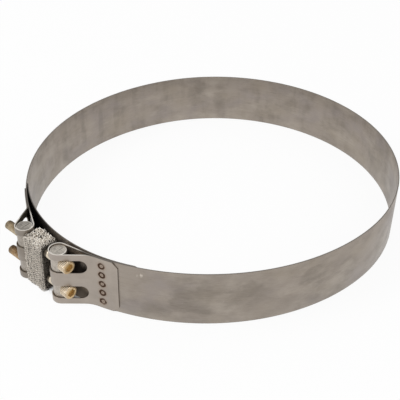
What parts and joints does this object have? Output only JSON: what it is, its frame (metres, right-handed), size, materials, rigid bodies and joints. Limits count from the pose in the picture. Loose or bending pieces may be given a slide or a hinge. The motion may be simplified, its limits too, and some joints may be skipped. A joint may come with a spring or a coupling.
{
  "type": "wide exhaust band clamp with knitted wire seal block",
  "caption": "Wide spring band clamp for a round exhaust flange or filter housing: folded strap ends loop round trunnions drawn together by socket head screws, over a sealing tongue",
  "frame": {"origin": "on the axis of the strap's back arc, at the height of the strap's lower edge", "axes": "+Z along the axis of the clamped tube, -Y from the tube to the screws, +X along the screws towards their heads"},
  "size_m": [0.3204, 0.362, 0.0508],
  "materials": {
    "strap": "stained stainless strip, satin, with weld marks",
    "tongue": "stained stainless strip, satin",
    "trunnion": "turned steel with a bright chamfer",
    "screw": "yellow zinc plate, knurled heads",
    "wire": "knitted stainless wire pressed to a block"
  },
  "bodies": {
    "clamp": {"band": "strap", "tongue": "tongue", "trunnion_tapped": "trunnion", "trunnion_plain": "trunnion", "mesh_block": "wire"},
    "screw_upper": {"screw_upper": "screw"},
    "screw_lower": {"screw_lower": "screw"}
  },
  "joints": [
    {"name": "upper_screw_turn", "type": "hinge", "parent": "clamp", "child": "screw_upper", "pos_m": [0, -0.195, 0.0386], "axis": [1, 0, 0], "continuous": true},
    {"name": "lower_screw_turn", "type": "hinge", "parent": "clamp", "child": "screw_lower", "pos_m": [0, -0.195, 0.0122], "axis": [1, 0, 0], "continuous": true}
  ]
}
